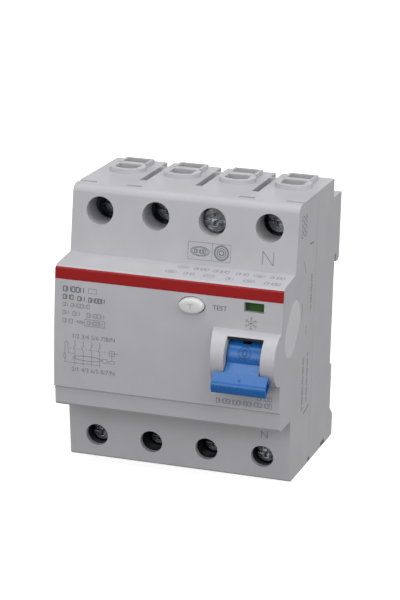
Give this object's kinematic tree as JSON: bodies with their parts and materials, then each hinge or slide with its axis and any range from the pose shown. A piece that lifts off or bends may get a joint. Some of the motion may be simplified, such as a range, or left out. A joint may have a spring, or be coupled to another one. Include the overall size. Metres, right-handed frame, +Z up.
{
  "type": "residual current device",
  "caption": "DIN-rail residual current circuit breaker with toggle, test button, flag window and screw clamp terminals.",
  "frame": {"origin": "middle of the rail seat: centre of the width, on the seat plane, at the rail's centre line", "axes": "+Z up, +Y towards the rail, so the front faces -Y; X across the width"},
  "size_m": [0.07, 0.0731, 0.0863],
  "materials": {
    "housing_plastic": "fine moulded texture",
    "stripe_red": "satin",
    "button_plastic": "satin",
    "flag_green": "matt",
    "window_clear": "clear",
    "toggle_blue": "satin",
    "contact_brass": "satin",
    "resistor_body": "lacquered",
    "mechanism_plastic": "matt",
    "carrier_plastic": "matt",
    "copper": "bare copper",
    "core_metal": "lacquered strip",
    "clip_plastic": "satin",
    "zinc_steel": "zinc plated",
    "screw_steel": "zinc plated"
  },
  "bodies": {
    "housing": {"rear_base": "housing_plastic", "front_cover": "housing_plastic", "screw_guides": "housing_plastic", "front_stripe": "stripe_red", "side_aperture_plugs": "housing_plastic", "housing_screws": "zinc_steel", "test_button_spring": "zinc_steel", "test_contact": "contact_brass", "test_resistor": "resistor_body", "indicator_window": "window_clear", "toggle_pin": "zinc_steel", "toggle_spring": "zinc_steel", "latch_pin": "zinc_steel", "mechanism_frame": "zinc_steel", "carrier_springs": "zinc_steel", "line_contacts": "copper", "load_conductor_1": "copper", "load_conductor_2": "copper", "load_conductor_3": "copper", "load_conductor_4": "copper", "toroid_core": "core_metal", "toroid_winding": "copper", "relay_yoke": "zinc_steel", "relay_coil": "copper", "rail_clip_spring": "zinc_steel", "terminal_cage_1": "zinc_steel", "terminal_cage_2": "zinc_steel", "terminal_cage_3": "zinc_steel", "terminal_cage_4": "zinc_steel", "terminal_cage_5": "zinc_steel", "terminal_cage_6": "zinc_steel", "terminal_cage_7": "zinc_steel", "terminal_cage_8": "zinc_steel"},
    "toggle": {"toggle": "toggle_blue"},
    "toggle_link": {"toggle_link": "zinc_steel"},
    "latch_lever": {"latch_lever": "mechanism_plastic"},
    "contact_carrier": {"contact_carrier": "carrier_plastic", "moving_contacts": "contact_brass", "contact_springs": "zinc_steel"},
    "indicator_flag": {"indicator_flag": "flag_green"},
    "test_button": {"test_button": "button_plastic"},
    "relay_plunger": {"relay_plunger": "zinc_steel"},
    "trip_lever": {"trip_lever": "mechanism_plastic"},
    "rail_clip": {"rail_clip": "clip_plastic"},
    "clamp_pad_1": {"clamp_pad_1": "zinc_steel"},
    "terminal_screw_1": {"terminal_screw_1": "screw_steel"},
    "clamp_pad_2": {"clamp_pad_2": "zinc_steel"},
    "terminal_screw_2": {"terminal_screw_2": "screw_steel"},
    "clamp_pad_3": {"clamp_pad_3": "zinc_steel"},
    "terminal_screw_3": {"terminal_screw_3": "screw_steel"},
    "clamp_pad_4": {"clamp_pad_4": "zinc_steel"},
    "terminal_screw_4": {"terminal_screw_4": "screw_steel"},
    "clamp_pad_5": {"clamp_pad_5": "zinc_steel"},
    "terminal_screw_5": {"terminal_screw_5": "screw_steel"},
    "clamp_pad_6": {"clamp_pad_6": "zinc_steel"},
    "terminal_screw_6": {"terminal_screw_6": "screw_steel"},
    "clamp_pad_7": {"clamp_pad_7": "zinc_steel"},
    "terminal_screw_7": {"terminal_screw_7": "screw_steel"},
    "clamp_pad_8": {"clamp_pad_8": "zinc_steel"},
    "terminal_screw_8": {"terminal_screw_8": "screw_steel"}
  },
  "joints": [
    {"name": "toggle_hinge", "type": "hinge", "parent": "housing", "child": "toggle", "pos_m": [0.0253, -0.0568, 0], "axis": [-1, 0, 0], "range_deg": [-1, 69]},
    {"name": "link_hinge", "type": "hinge", "parent": "toggle", "child": "toggle_link", "pos_m": [0.0253, -0.0587, 0.0029], "axis": [-1, 0, 0], "range_deg": [-69, 1]},
    {"name": "latch_hinge", "type": "hinge", "parent": "housing", "child": "latch_lever", "pos_m": [0.0253, -0.034, 0.016], "axis": [1, 0, 0], "range_deg": [-1, 17.5]},
    {"name": "carrier_slide", "type": "slide", "parent": "housing", "child": "contact_carrier", "axis": [0, 1, 0], "range_m": [0, 0.003], "deforming": ["carrier_springs"]},
    {"name": "flag_slide", "type": "slide", "parent": "housing", "child": "indicator_flag", "axis": [0, 0, 1], "range_m": [-0.0001, 0.0031]},
    {"name": "button_slide", "type": "slide", "parent": "housing", "child": "test_button", "axis": [0, 1, 0], "range_m": [0, 0.002], "stiffness_N_per_m": 400, "springref_m": -0.0008, "deforming": ["test_button_spring"]},
    {"name": "plunger_slide", "type": "slide", "parent": "housing", "child": "relay_plunger", "axis": [0, 0, 1], "range_m": [0, 0.0015]},
    {"name": "trip_hinge", "type": "hinge", "parent": "housing", "child": "trip_lever", "pos_m": [0.018, -0.0312, 0.0126], "axis": [-1, 0, 0], "range_deg": [-0.5, 11]},
    {"name": "rail_clip_slide", "type": "slide", "parent": "housing", "child": "rail_clip", "axis": [0, 0, -1], "range_m": [0, 0.003], "stiffness_N_per_m": 1500, "springref_m": -0.002, "deforming": ["rail_clip_spring"]},
    {"name": "clamp_slide_1", "type": "slide", "parent": "housing", "child": "clamp_pad_1", "axis": [0, 1, 0], "range_m": [-0.0088, 0]},
    {"name": "screw_turn_1", "type": "hinge", "parent": "clamp_pad_1", "child": "terminal_screw_1", "pos_m": [-0.02625, -0.04, 0.0352], "axis": [0, 1, 0], "range_deg": [-3961, 1]},
    {"name": "clamp_slide_2", "type": "slide", "parent": "housing", "child": "clamp_pad_2", "axis": [0, 1, 0], "range_m": [-0.008, 0.0008]},
    {"name": "screw_turn_2", "type": "hinge", "parent": "clamp_pad_2", "child": "terminal_screw_2", "pos_m": [-0.00875, -0.04, 0.0352], "axis": [0, 1, 0], "range_deg": [-3601, 361]},
    {"name": "clamp_slide_3", "type": "slide", "parent": "housing", "child": "clamp_pad_3", "axis": [0, 1, 0], "range_m": [0, 0.0088]},
    {"name": "screw_turn_3", "type": "hinge", "parent": "clamp_pad_3", "child": "terminal_screw_3", "pos_m": [0.00875, -0.04, 0.0352], "axis": [0, 1, 0], "range_deg": [-1, 3961]},
    {"name": "clamp_slide_4", "type": "slide", "parent": "housing", "child": "clamp_pad_4", "axis": [0, 1, 0], "range_m": [-0.007, 0.0018]},
    {"name": "screw_turn_4", "type": "hinge", "parent": "clamp_pad_4", "child": "terminal_screw_4", "pos_m": [0.02625, -0.04, 0.0352], "axis": [0, 1, 0], "range_deg": [-3151, 811]},
    {"name": "clamp_slide_5", "type": "slide", "parent": "housing", "child": "clamp_pad_5", "axis": [0, 1, 0], "range_m": [-0.0024, 0.0064]},
    {"name": "screw_turn_5", "type": "hinge", "parent": "clamp_pad_5", "child": "terminal_screw_5", "pos_m": [-0.02625, -0.04, -0.0352], "axis": [0, 1, 0], "range_deg": [-1081, 2881]},
    {"name": "clamp_slide_6", "type": "slide", "parent": "housing", "child": "clamp_pad_6", "axis": [0, 1, 0], "range_m": [-0.0052, 0.0036]},
    {"name": "screw_turn_6", "type": "hinge", "parent": "clamp_pad_6", "child": "terminal_screw_6", "pos_m": [-0.00875, -0.04, -0.0352], "axis": [0, 1, 0], "range_deg": [-2341, 1621]},
    {"name": "clamp_slide_7", "type": "slide", "parent": "housing", "child": "clamp_pad_7", "axis": [0, 1, 0], "range_m": [-0.0052, 0.0036]},
    {"name": "screw_turn_7", "type": "hinge", "parent": "clamp_pad_7", "child": "terminal_screw_7", "pos_m": [0.00875, -0.04, -0.0352], "axis": [0, 1, 0], "range_deg": [-2341, 1621]},
    {"name": "clamp_slide_8", "type": "slide", "parent": "housing", "child": "clamp_pad_8", "axis": [0, 1, 0], "range_m": [-0.002, 0.0068]},
    {"name": "screw_turn_8", "type": "hinge", "parent": "clamp_pad_8", "child": "terminal_screw_8", "pos_m": [0.02625, -0.04, -0.0352], "axis": [0, 1, 0], "range_deg": [-901, 3061]}
  ],
  "couplings": [
    {"joint": "toggle_hinge", "follows": "carrier_slide", "rad_per_m": 395.61},
    {"joint": "link_hinge", "follows": "carrier_slide", "rad_per_m": -395.61},
    {"joint": "latch_hinge", "follows": "carrier_slide", "rad_per_m": 94.248},
    {"joint": "flag_slide", "follows": "carrier_slide", "ratio": 1},
    {"joint": "trip_hinge", "follows": "plunger_slide", "rad_per_m": 116.36},
    {"joint": "screw_turn_1", "follows": "clamp_slide_1", "rad_per_m": 7854},
    {"joint": "screw_turn_2", "follows": "clamp_slide_2", "rad_per_m": 7854},
    {"joint": "screw_turn_3", "follows": "clamp_slide_3", "rad_per_m": 7854},
    {"joint": "screw_turn_4", "follows": "clamp_slide_4", "rad_per_m": 7854},
    {"joint": "screw_turn_5", "follows": "clamp_slide_5", "rad_per_m": 7854},
    {"joint": "screw_turn_6", "follows": "clamp_slide_6", "rad_per_m": 7854},
    {"joint": "screw_turn_7", "follows": "clamp_slide_7", "rad_per_m": 7854},
    {"joint": "screw_turn_8", "follows": "clamp_slide_8", "rad_per_m": 7854}
  ]
}
